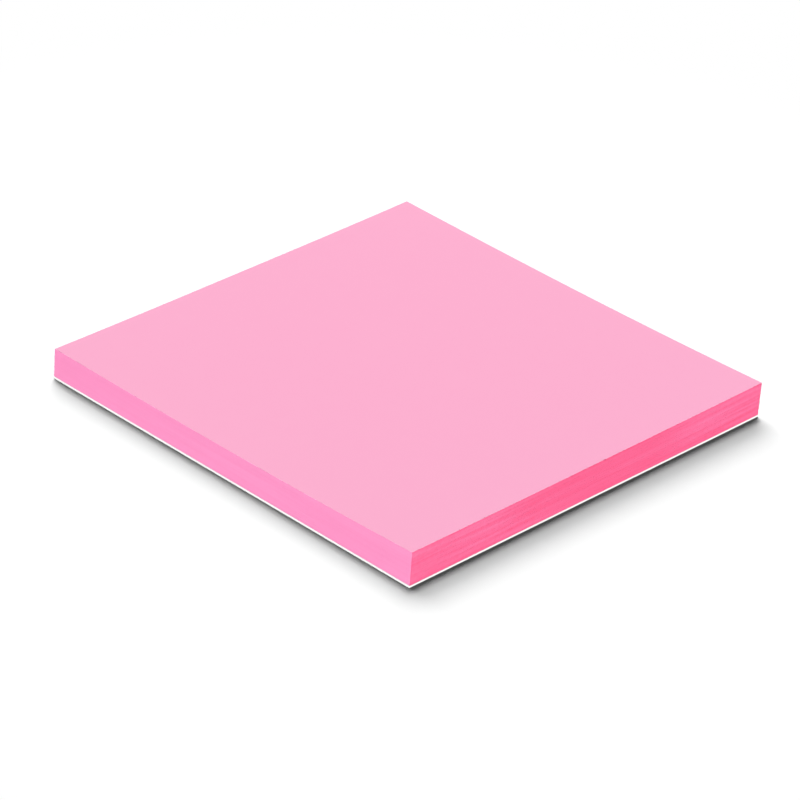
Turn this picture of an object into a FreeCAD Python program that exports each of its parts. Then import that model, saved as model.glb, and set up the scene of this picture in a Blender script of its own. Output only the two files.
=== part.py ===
import FreeCAD, Part
import os

# Driving sizes in millimetres, and counts
pad_side = 76.0             # square outline, the common 3 inch note
note_count = 50             # notes in the pad
note_thickness = 0.092      # one sheet of note paper
backing_thickness = 0.38    # stiff white sheet under the last note
adhesive_thickness = 0.019  # tacky band on the back of every note
adhesive_width = 20.0       # across the band
adhesive_margin = 3.0       # dry rim between the band and the cut edges
free_corner_curl = 0.20     # how far the two loose corners stand up
bound_corner_curl = 0.10    # the same at the two corners of the glued edge

# Shape of the top note: how sharply it climbs to the glued edge and to its corners
rise_power = 2.7
curl_power = 3.0
spans_per_side = 8          # patches of the smooth surface, along each side

# Sizes that follow: the glue of every note adds up along the bound edge only
half_side = pad_side / 2
notes_height = note_count * note_thickness
glue_rise = note_count * adhesive_thickness
tallest = notes_height + glue_rise + free_corner_curl + bound_corner_curl
adhesive_length = pad_side - 2 * adhesive_margin


def top_height(x, y):
    """Height of the top note above the backing: thick at the glued +X edge, with curled corners."""
    toward_bound = x / pad_side + 0.5
    toward_free = 1.0 - toward_bound
    toward_side = abs(y) / half_side
    curl = free_corner_curl * toward_free ** curl_power + bound_corner_curl * toward_bound ** curl_power
    return notes_height + glue_rise * toward_bound ** rise_power + curl * toward_side ** curl_power


def top_face():
    """The upper face of the top note, as one smooth surface through a square grid."""
    steps = [pad_side * (i / spans_per_side - 0.5) for i in range(spans_per_side + 1)]
    rows = [[FreeCAD.Vector(x, y, backing_thickness + top_height(x, y)) for y in steps] for x in steps]
    surface = Part.BSplineSurface()
    surface.interpolate(rows)
    return surface.toShape()


def square_slab(bottom, height):
    """A slab of the pad's own outline."""
    return Part.makeBox(pad_side, pad_side, height, FreeCAD.Vector(-half_side, -half_side, bottom))


def adhesive_strip():
    """The last note's tacky band, which holds the pad on its backing."""
    inner_edge = half_side - adhesive_margin - adhesive_width
    corner = FreeCAD.Vector(inner_edge, -adhesive_length / 2, backing_thickness)
    return Part.makeBox(adhesive_width, adhesive_length, adhesive_thickness, corner)


def note_block():
    """All the notes as one solid, with room for the tacky band in its underside."""
    below_top = top_face().extrude(FreeCAD.Vector(0, 0, -2 * tallest))
    return square_slab(backing_thickness, tallest).common(below_top).cut(adhesive_strip())


def backing_sheet():
    """The flat white sheet that the pad lies on."""
    return square_slab(0, backing_thickness)


os.makedirs("parts", exist_ok=True)
for make_node in (note_block, adhesive_strip, backing_sheet):
    make_node().exportStep("parts/" + make_node.__name__ + ".step")
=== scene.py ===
"""A pad of pink square self-stick notes on a thin white backing sheet, lying on a white table."""

import math
import random

import bpy
from mathutils import Matrix, Vector


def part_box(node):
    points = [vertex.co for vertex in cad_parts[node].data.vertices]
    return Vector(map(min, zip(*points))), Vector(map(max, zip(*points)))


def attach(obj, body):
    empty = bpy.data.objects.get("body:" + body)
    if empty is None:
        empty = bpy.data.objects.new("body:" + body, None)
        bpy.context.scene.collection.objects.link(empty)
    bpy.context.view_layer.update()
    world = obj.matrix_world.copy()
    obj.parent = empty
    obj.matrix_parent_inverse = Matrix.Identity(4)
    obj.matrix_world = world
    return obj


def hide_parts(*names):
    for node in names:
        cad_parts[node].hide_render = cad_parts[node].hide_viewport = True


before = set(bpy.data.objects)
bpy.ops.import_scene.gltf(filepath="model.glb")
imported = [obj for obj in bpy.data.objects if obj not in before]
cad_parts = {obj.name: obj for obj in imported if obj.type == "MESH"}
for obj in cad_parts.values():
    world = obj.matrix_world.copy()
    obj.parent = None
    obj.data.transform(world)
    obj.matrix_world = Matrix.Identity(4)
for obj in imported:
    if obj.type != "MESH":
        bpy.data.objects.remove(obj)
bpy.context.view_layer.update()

MM = 0.001

# The pad, from the frame and from the sizes that the solids are made with
HALF_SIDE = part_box("note_block")[1].x
BACKING_LOW, BACKING_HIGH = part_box("backing_sheet")
BACKING_TOP = BACKING_HIGH.z
NOTE_COUNT = 50
NOTES_HEIGHT = NOTE_COUNT * 0.092 * MM
GLUE_RISE = NOTE_COUNT * 0.019 * MM
FREE_CORNER_CURL = 0.20 * MM
BOUND_CORNER_CURL = 0.10 * MM
RISE_POWER = 2.7
CURL_POWER = 3.0

# How the notes lie on each other: small steps between cut edges and hairline gaps between sheets
STEPS_PER_SIDE = 32
EDGE_SCATTER = {"-Y": 0.014 * MM, "+X": 0.012 * MM, "+Y": 0.016 * MM, "-X": 0.040 * MM}
EDGE_WAVE = 0.008 * MM
WAVES_PER_SIDE = (0.5, 2.0)
GAP_SHARE = 0.07
GAP_DEPTH = 0.012 * MM
BACKING_SOFTENING = 0.03 * MM
STACK_SEED = 11

# Faces that meet more steeply than this keep a sharp edge between them
SHARP_ANGLE = math.radians(4)

# Colours, as they look in plain light
NOTE_FACE = (254, 177, 209)
CUT_EDGE = (254, 151, 200)
CUT_EDGE_PALE = (255, 155, 203)
CUT_EDGE_DEEP = (253, 145, 195)
# The glued edge's colours carry painted shade: they are deeper to stand for the dimmer light on the pad's +X
# side
GLUED_EDGE_SHADED_PALE = (255, 126, 172)
GLUED_EDGE_SHADED_DEEP = (253, 92, 138)
BACKING_WHITE = (250, 250, 249)
BACKING_CLOUD = (244, 244, 243)
ADHESIVE_TINT = (235, 232, 224)

# Paper: how matt it is, how much it shines, how deep its tooth is, and how strong its clouds are
PAPER_ROUGHNESS = 0.92
PAPER_SHINE = 0.2
TOOTH_DEPTH = 0.01 * MM
CLOUD_DEPTH = 0.10

# What makes a place on a cut edge pale: the weights of streaks, wide bands, mottling and whole sheets
STREAK_WEIGHT = 0.48
BAND_WEIGHT = 0.37
MOTTLE_WEIGHT = 0.15
SHEET_WEIGHT = 0.06

# The values of the random patches between which the paper goes from deep to pale
STREAK_RANGE = (0.30, 0.70)
MOTTLE_RANGE = (0.35, 0.65)

# Where the cut edges are deeper still. Depths are shares of the way to the deep colour. Rims are shares
# of the stack's height, from the bottom for the upper one and from the top for the lower one.
UPPER_RIM = (0.90, 1.0)
UPPER_RIM_DEPTH = 0.4
# The lower rim is painted shade on the bottom sheets, just above the backing
LOWER_SHADE_RIM = (0.92, 0.98)
LOWER_SHADE_DEPTH = 0.7
LOOSE_END_DEPTH = 0.45
GLUED_MIDDLE = 5.5 * MM
GLUED_MIDDLE_REACH = (7.0 * MM, 22.0 * MM)
GLUED_MIDDLE_DEPTH = 0.55

# How squarely a face looks along +X where it starts to be, and where it fully is, part of the glued edge and
# its painted shade
GLUED_SHADE_FACING = (0.4, 0.6)

# The table: it fades from lit to plain white between these two distances from the pad's middle
TABLE_FADE = (0.07, 0.13)
TABLE_BRIGHTNESS = 1.10
TABLE_HALF_SIDE = 20.0
TABLE_DROP = 0.01 * MM

# Lamps: name, place, the point that it faces, width and height, all in metres, and its watts
LAMPS = [
    ("overhead", (-1.092, 0.956, 6.0), (-1.092, 0.956, 0.0), (1.39, 1.796), 150.0),
    ("behind", (-5.342, 2.844, 6.662), (0.0, 0.0, 0.0), (7.6, 6.64), 710.0),
    ("front_fill", (0.0, -7.2, 0.44), (0.0, 0.0, 0.0), (3.0, 0.8), 291.0),
    ("right_fill", (7.2, 0.0, 0.44), (0.0, 0.0, 0.0), (3.0, 0.8), 291.0),
]

# The camera's place, as seen from its target, and its lens
CAMERA_TARGET = Vector((3.315, -5.104, 3.0)) * MM
CAMERA_DISTANCE = 732.3 * MM
CAMERA_AZIMUTH = math.radians(42.44)
CAMERA_ELEVATION = math.radians(30.37)
CAMERA_ROLL = math.radians(4.42)
CAMERA_LENS = 218.35
CAMERA_SENSOR = 36.0
CAMERA_CLIPPING = (0.01, 100.0)


def linear(rgb):
    """A colour given as 0 to 255 screen values, as the linear values that a shader takes."""
    shares = [value / 255 for value in rgb]
    return tuple(s / 12.92 if s <= 0.04045 else ((s + 0.055) / 1.055) ** 2.4 for s in shares) + (1.0,)


def add_piece(name, points, faces, materials):
    """A mesh object in the part's frame, smooth-shaded but for its sharp edges."""
    mesh = bpy.data.meshes.new(name)
    mesh.from_pydata(points, [], faces)
    mesh.validate()
    mesh.shade_smooth()
    mesh.set_sharp_from_angle(angle=SHARP_ANGLE)
    for material in materials:
        mesh.materials.append(material)
    piece = bpy.data.objects.new(name, mesh)
    bpy.context.scene.collection.objects.link(piece)
    return piece


def outline():
    """Points round a square from -1 to 1, anticlockwise from its (-1, -1) corner."""
    walk = [2 * i / STEPS_PER_SIDE - 1 for i in range(STEPS_PER_SIDE)]
    return ([(t, -1.0) for t in walk] + [(1.0, t) for t in walk]
            + [(-t, 1.0) for t in walk] + [(-1.0, -t) for t in walk])


def inner_grid():
    """Points inside the square, row by row, on the lines that the outline's points start."""
    walk = [2 * i / STEPS_PER_SIDE - 1 for i in range(1, STEPS_PER_SIDE)]
    return [(u, v) for v in walk for u in walk]


def grid_faces(ring_start, grid_start):
    """Quads, facing up, that fill an outline ring with the inner grid."""
    side = STEPS_PER_SIDE
    inner = side - 1

    def corner(i, j):
        if j == 0:
            return ring_start + i
        if i == side:
            return ring_start + side + j
        if j == side:
            return ring_start + 3 * side - i
        if i == 0:
            return ring_start + 4 * side - j
        return grid_start + (j - 1) * inner + (i - 1)

    return [(corner(i, j), corner(i + 1, j), corner(i + 1, j + 1), corner(i, j + 1))
            for j in range(side) for i in range(side)]


def wall_faces(lower_start, upper_start):
    """Quads, facing out, between two outline rings."""
    count = 4 * STEPS_PER_SIDE
    return [(lower_start + i, lower_start + (i + 1) % count, upper_start + (i + 1) % count, upper_start + i)
            for i in range(count)]


def ring_face(start):
    """One face that fills an outline ring, facing up."""
    return tuple(range(start, start + 4 * STEPS_PER_SIDE))


def stack_height(u, v, share):
    """Height of a note that lies this share of the way up: glue lifts the +X edge, and corners curl."""
    toward_bound = (u + 1) / 2
    toward_free = 1 - toward_bound
    rise = GLUE_RISE * toward_bound ** RISE_POWER
    curl = FREE_CORNER_CURL * toward_free ** CURL_POWER + BOUND_CORNER_CURL * toward_bound ** CURL_POWER
    return BACKING_TOP + share * (NOTES_HEIGHT + rise + curl * abs(v) ** CURL_POWER)


class CutEdge:
    """Where one sheet's four cut edges lie inside the pad's outline."""

    def __init__(self, dice):
        self.inset = {side: dice.uniform(0, scatter) for side, scatter in EDGE_SCATTER.items()}
        self.phase = {side: dice.uniform(0, math.tau) for side in EDGE_SCATTER}
        self.waves = {side: dice.uniform(*WAVES_PER_SIDE) for side in EDGE_SCATTER}

    def reach(self, side, along, groove):
        """Distance of the edge from the pad's middle, at a place from -1 to 1 along it."""
        wave = 0.5 + 0.5 * math.sin(self.waves[side] * math.pi * along + self.phase[side])
        return HALF_SIDE - self.inset[side] - EDGE_WAVE * wave - groove

    def point(self, u, v, z, groove=0.0):
        """The outline point (u, v) of this sheet, at height z."""
        x = u * self.reach("+X" if u > 0 else "-X", v, groove)
        y = v * self.reach("+Y" if v > 0 else "-Y", u, groove)
        return (x, y, z)


def build_notes(face_material, edge_material):
    """The stack of notes as one closed skin: each sheet's cut edge, and the hairline gaps between them."""
    dice = random.Random(STACK_SEED)
    rim = outline()
    points, faces, sheet_share, sheet_tone = [], [], [], []

    def add_ring(edge, share, groove, note, tone):
        start = len(points)
        points.extend(edge.point(u, v, stack_height(u, v, share), groove) for u, v in rim)
        sheet_share.extend([(note + 0.5) / NOTE_COUNT] * len(rim))
        sheet_tone.extend([tone] * len(rim))
        return start

    below = None
    for note in range(NOTE_COUNT):
        edge = CutEdge(dice)
        tone = dice.uniform(-1, 1)
        low = note / NOTE_COUNT
        high = (note + 1 - (GAP_SHARE if note < NOTE_COUNT - 1 else 0)) / NOTE_COUNT
        if below is None:
            bottom = add_ring(edge, low, 0, note, tone)
            faces.append(tuple(reversed(ring_face(bottom))))
        else:
            below_top, below_edge, below_high = below
            groove_low = add_ring(below_edge, below_high, GAP_DEPTH, note, tone)
            groove_high = add_ring(edge, low, GAP_DEPTH, note, tone)
            bottom = add_ring(edge, low, 0, note, tone)
            faces += wall_faces(below_top, groove_low)
            faces += wall_faces(groove_low, groove_high)
            faces += wall_faces(groove_high, bottom)
        top = add_ring(edge, high, 0, note, tone)
        faces += wall_faces(bottom, top)
        below = (top, edge, high)

    edge_face_count = len(faces)
    grid_start = len(points)
    grid = inner_grid()
    points += [(u * HALF_SIDE, v * HALF_SIDE, stack_height(u, v, 1.0)) for u, v in grid]
    sheet_share.extend([1.0] * len(grid))
    sheet_tone.extend([0.0] * len(grid))
    faces += grid_faces(top, grid_start)

    notes = add_piece("pink_notes", points, faces, [face_material, edge_material])
    for polygon in notes.data.polygons:
        polygon.material_index = 1 if polygon.index < edge_face_count else 0
    for name, values in (("sheet_share", sheet_share), ("sheet_tone", sheet_tone)):
        notes.data.attributes.new(name, "FLOAT", "POINT").data.foreach_set("value", values)
    return notes


def build_backing(material):
    """The backing sheet, with its cut edge a little softened."""
    edge = CutEdge(random.Random(STACK_SEED + 1))
    low, high, soft = BACKING_LOW.z, BACKING_TOP, BACKING_SOFTENING
    points, faces, starts = [], [], []
    for z, groove in [(low, soft), (low + soft, 0), (high - soft, 0), (high, soft)]:
        starts.append(len(points))
        points.extend(edge.point(u, v, z, groove) for u, v in outline())
    for lower, upper in zip(starts, starts[1:]):
        faces += wall_faces(lower, upper)
    faces.append(tuple(reversed(ring_face(starts[0]))))
    faces.append(ring_face(starts[-1]))
    return add_piece("white_backing", points, faces, [material])


class Shader:
    """A node material that is built up one node at a time."""

    def __init__(self, name):
        self.material = bpy.data.materials.new(name)
        self.material.use_nodes = True
        self.tree = self.material.node_tree
        self.tree.nodes.clear()

    def node(self, kind, settings=None, **inputs):
        """Adds a node. Inputs are values or other nodes' sockets, by socket name or number."""
        made = self.tree.nodes.new(kind)
        for key, value in (settings or {}).items():
            setattr(made, key, value)
        for key, value in inputs.items():
            socket = made.inputs[int(key[1:])] if key[0] == "_" else made.inputs[key.replace("_", " ")]
            if isinstance(value, bpy.types.NodeSocket):
                self.tree.links.new(value, socket)
            else:
                socket.default_value = value
        return made

    def place(self):
        """Where on the object a point lies."""
        return self.node("ShaderNodeTexCoord").outputs["Object"]

    def split(self, vector):
        """A vector's three numbers, by axis name."""
        return self.node("ShaderNodeSeparateXYZ", None, Vector=vector).outputs

    def stored(self, name):
        """A number stored at each point of the mesh."""
        return self.node("ShaderNodeAttribute", {"attribute_name": name}).outputs["Fac"]

    def math(self, operation, first, second=0.0, third=0.0, clamp=False):
        """The result of a sum on one, two or three numbers."""
        settings = {"operation": operation, "use_clamp": clamp}
        return self.node("ShaderNodeMath", settings, _0=first, _1=second, _2=third).outputs[0]

    def blend(self, share, first, second):
        """A colour between two others."""
        made = self.node("ShaderNodeMix", {"data_type": "RGBA"}, _0=share, _6=first, _7=second)
        return made.outputs[2]

    def ramp(self, value, low, high):
        """0 below low, 1 above high, and smooth between."""
        made = self.node("ShaderNodeMapRange", {"interpolation_type": "SMOOTHSTEP"},
                         Value=value, From_Min=low, From_Max=high)
        return made.outputs[0]

    def noise(self, place, scale, detail=2.0, roughness=0.5):
        """Soft random patches, from about 0 to 1."""
        made = self.node("ShaderNodeTexNoise", None, Vector=place, Scale=scale, Detail=detail,
                         Roughness=roughness)
        return made.outputs["Fac"]

    def tooth(self, height, strength):
        """The normal of a surface roughened by this height."""
        made = self.node("ShaderNodeBump", None, Strength=strength, Distance=TOOTH_DEPTH, Height=height)
        return made.outputs[0]

    def finish(self, surface):
        """Makes this the material's surface, and gives the material back."""
        out = self.tree.nodes.new("ShaderNodeOutputMaterial")
        self.tree.links.new(surface.outputs[0], out.inputs["Surface"])
        return self.material


def note_face_material():
    """Uncoated note paper: even pale pink with the faint clouds and the fine tooth of its fibres."""
    shader = Shader("note_face")
    place = shader.place()
    clouds = shader.noise(place, scale=350.0, detail=3.0)
    cloud = shader.blend(CLOUD_DEPTH, linear(NOTE_FACE), linear(CUT_EDGE))
    colour = shader.blend(clouds, linear(NOTE_FACE), cloud)
    normal = shader.tooth(shader.noise(place, scale=6000.0), strength=0.25)
    paper = shader.node("ShaderNodeBsdfPrincipled", None, Base_Color=colour, Roughness=PAPER_ROUGHNESS,
                        Specular_IOR_Level=PAPER_SHINE, Normal=normal)
    return shader.finish(paper)


def cut_edge_material():
    """The cut edges of the notes: deeper pink, deepest and streaked along the glued edge, where the deepest
    pink is painted shade for the dimmer light on that side.
    """
    shader = Shader("note_cut_edge")
    place = shader.place()
    axis = shader.split(place)
    share = shader.stored("sheet_share")

    def along_sheets(per_metre, per_stack, start):
        """Patches from 0 to 1 that are long along the sheets and a few sheets high."""
        x = shader.math("MULTIPLY", axis["X"], per_metre)
        y = shader.math("MULTIPLY", axis["Y"], per_metre)
        z = shader.math("MULTIPLY_ADD", share, per_stack, start)
        stretched = shader.node("ShaderNodeCombineXYZ", None, X=x, Y=y, Z=z).outputs[0]
        return shader.ramp(shader.noise(stretched, scale=1.0, detail=3.0, roughness=0.55), *STREAK_RANGE)

    def part(value, weight):
        return shader.math("MULTIPLY", value, weight)

    streaks = along_sheets(per_metre=55.0, per_stack=11.0, start=3.0)
    bands = along_sheets(per_metre=28.0, per_stack=3.0, start=9.0)
    mottle = shader.ramp(shader.noise(place, scale=1500.0), *MOTTLE_RANGE)
    pale = shader.math("ADD", part(streaks, STREAK_WEIGHT), part(bands, BAND_WEIGHT))
    pale = shader.math("ADD", pale, part(mottle, MOTTLE_WEIGHT))
    pale = shader.math("ADD", pale, part(shader.stored("sheet_tone"), SHEET_WEIGHT), clamp=True)

    # Deeper at the top and bottom of the stack, towards the loose edge, and in the middle of the glued edge
    upper_rim = part(shader.ramp(share, *UPPER_RIM), UPPER_RIM_DEPTH)
    # The lower rim is painted shade on the bottom sheets, just above the backing
    lower_shade = part(shader.ramp(shader.math("SUBTRACT", 1.0, share), *LOWER_SHADE_RIM), LOWER_SHADE_DEPTH)
    rim = shader.math("MAXIMUM", upper_rim, lower_shade)
    loose_end = shader.ramp(shader.math("SUBTRACT", 0.0, axis["X"]), 0.0, HALF_SIDE)
    off_middle = shader.math("ABSOLUTE", shader.math("SUBTRACT", axis["Y"], GLUED_MIDDLE))
    middle = shader.math("SUBTRACT", 1.0, shader.ramp(off_middle, *GLUED_MIDDLE_REACH))

    plain = shader.blend(pale, linear(CUT_EDGE_DEEP), linear(CUT_EDGE_PALE))
    plain_depth = shader.math("MAXIMUM", rim, part(loose_end, LOOSE_END_DEPTH))
    plain = shader.blend(plain_depth, plain, linear(CUT_EDGE_DEEP))
    # The glued edge's colours are deeper by painted shade, for the dimmer light on the +X side
    shaded_glued = shader.blend(pale, linear(GLUED_EDGE_SHADED_DEEP), linear(GLUED_EDGE_SHADED_PALE))
    glued_depth = shader.math("MAXIMUM", rim, part(middle, GLUED_MIDDLE_DEPTH))
    shaded_glued = shader.blend(glued_depth, shaded_glued, linear(GLUED_EDGE_SHADED_DEEP))

    # Faces that look along +X take the glued edge's colours, with their painted shade
    facing_out = shader.split(shader.node("ShaderNodeNewGeometry").outputs["Normal"])
    colour = shader.blend(shader.ramp(facing_out["X"], *GLUED_SHADE_FACING), plain, shaded_glued)
    paper = shader.node("ShaderNodeBsdfPrincipled", None, Base_Color=colour, Roughness=PAPER_ROUGHNESS,
                        Specular_IOR_Level=PAPER_SHINE)
    return shader.finish(paper)


def backing_material():
    """Smooth white card."""
    shader = Shader("backing_card")
    place = shader.place()
    clouds = shader.noise(place, scale=500.0, detail=3.0)
    colour = shader.blend(clouds, linear(BACKING_WHITE), linear(BACKING_CLOUD))
    normal = shader.tooth(shader.noise(place, scale=5000.0), strength=0.2)
    card = shader.node("ShaderNodeBsdfPrincipled", None, Base_Color=colour, Roughness=0.8,
                       Specular_IOR_Level=0.3, Normal=normal)
    return shader.finish(card)


def adhesive_material():
    """The tacky band: a thin, slightly rough, milky coating."""
    shader = Shader("tacky_adhesive")
    normal = shader.tooth(shader.noise(shader.place(), scale=9000.0), strength=0.3)
    coating = shader.node("ShaderNodeBsdfPrincipled", None, Base_Color=linear(ADHESIVE_TINT), Roughness=0.45,
                          Normal=normal)
    return shader.finish(coating)


def table_material():
    """White table: lit and shadowed near the pad, plain white farther off and to all but camera rays."""
    shader = Shader("white_table")
    length = shader.node("ShaderNodeVectorMath", {"operation": "LENGTH"}, _0=shader.place())
    near = shader.math("SUBTRACT", 1.0, shader.ramp(length.outputs["Value"], *TABLE_FADE))
    camera_ray = shader.node("ShaderNodeLightPath").outputs["Is Camera Ray"]
    share = shader.math("MULTIPLY", camera_ray, near)
    plain = shader.node("ShaderNodeEmission", None, Color=(1, 1, 1, 1), Strength=1.0)
    lit = shader.node("ShaderNodeBsdfDiffuse", None, Color=(TABLE_BRIGHTNESS,) * 3 + (1,))
    mixed = shader.node("ShaderNodeMixShader", None, _0=share, _1=plain.outputs[0], _2=lit.outputs[0])
    return shader.finish(mixed)


def build_table():
    """A wide white table just under the pad."""
    half = TABLE_HALF_SIDE
    corners = [(x, y, -TABLE_DROP) for x, y in ((-half, -half), (half, -half), (half, half), (-half, half))]
    return add_piece("table", corners, [(0, 1, 2, 3)], [table_material()])


def facing(place, aim, roll=0.0):
    """A placement at one point that looks at another."""
    turn = (aim - place).to_track_quat("-Z", "Y").to_matrix().to_4x4()
    return Matrix.Translation(place) @ turn @ Matrix.Rotation(roll, 4, "Z")


def add_lamp(name, place, aim, size, watts):
    """A soft rectangular lamp that the camera doesn't see."""
    lamp = bpy.data.lights.new(name, "AREA")
    lamp.shape = "RECTANGLE"
    lamp.size, lamp.size_y = size
    lamp.energy = watts
    lamp.cycles.use_multiple_importance_sampling = False
    holder = bpy.data.objects.new(name, lamp)
    holder.matrix_world = facing(Vector(place), Vector(aim))
    holder.visible_camera = False
    bpy.context.scene.collection.objects.link(holder)


def add_world():
    """White to the camera and in reflections, and no light of its own."""
    world = bpy.data.worlds.new("surroundings")
    world.use_nodes = True
    nodes, links = world.node_tree.nodes, world.node_tree.links
    background = nodes["Background"]
    background.inputs["Color"].default_value = (1, 1, 1, 1)
    path = nodes.new("ShaderNodeLightPath")
    seen = path.outputs["Is Camera Ray"]
    for other in ("Is Glossy Ray", "Is Transmission Ray"):
        either = nodes.new("ShaderNodeMath")
        either.operation = "MAXIMUM"
        links.new(seen, either.inputs[0])
        links.new(path.outputs[other], either.inputs[1])
        seen = either.outputs[0]
    links.new(seen, background.inputs["Strength"])
    bpy.context.scene.world = world


def add_camera():
    """A long lens at the photograph's viewpoint."""
    toward = Vector((math.sin(CAMERA_AZIMUTH) * math.cos(CAMERA_ELEVATION),
                     -math.cos(CAMERA_AZIMUTH) * math.cos(CAMERA_ELEVATION),
                     math.sin(CAMERA_ELEVATION)))
    camera = bpy.data.objects.new("camera", bpy.data.cameras.new("camera"))
    camera.data.lens = CAMERA_LENS
    camera.data.sensor_width = CAMERA_SENSOR
    camera.data.clip_start, camera.data.clip_end = CAMERA_CLIPPING
    camera.matrix_world = facing(CAMERA_TARGET + CAMERA_DISTANCE * toward, CAMERA_TARGET, CAMERA_ROLL)
    bpy.context.scene.collection.objects.link(camera)
    bpy.context.scene.camera = camera


def add_pad():
    """The pad's pieces, each on the pad's only body."""
    notes = build_notes(note_face_material(), cut_edge_material())
    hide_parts("note_block")
    backing = build_backing(backing_material())
    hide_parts("backing_sheet")
    for piece in (notes, backing):
        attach(piece, "root")
        piece.visible_diffuse = False
    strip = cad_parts["adhesive_strip"]
    strip.data.materials.clear()
    strip.data.materials.append(adhesive_material())
    strip.visible_diffuse = False


add_pad()
build_table()
for lamp_settings in LAMPS:
    add_lamp(*lamp_settings)
add_world()
add_camera()
bpy.context.scene.view_settings.view_transform = "Standard"
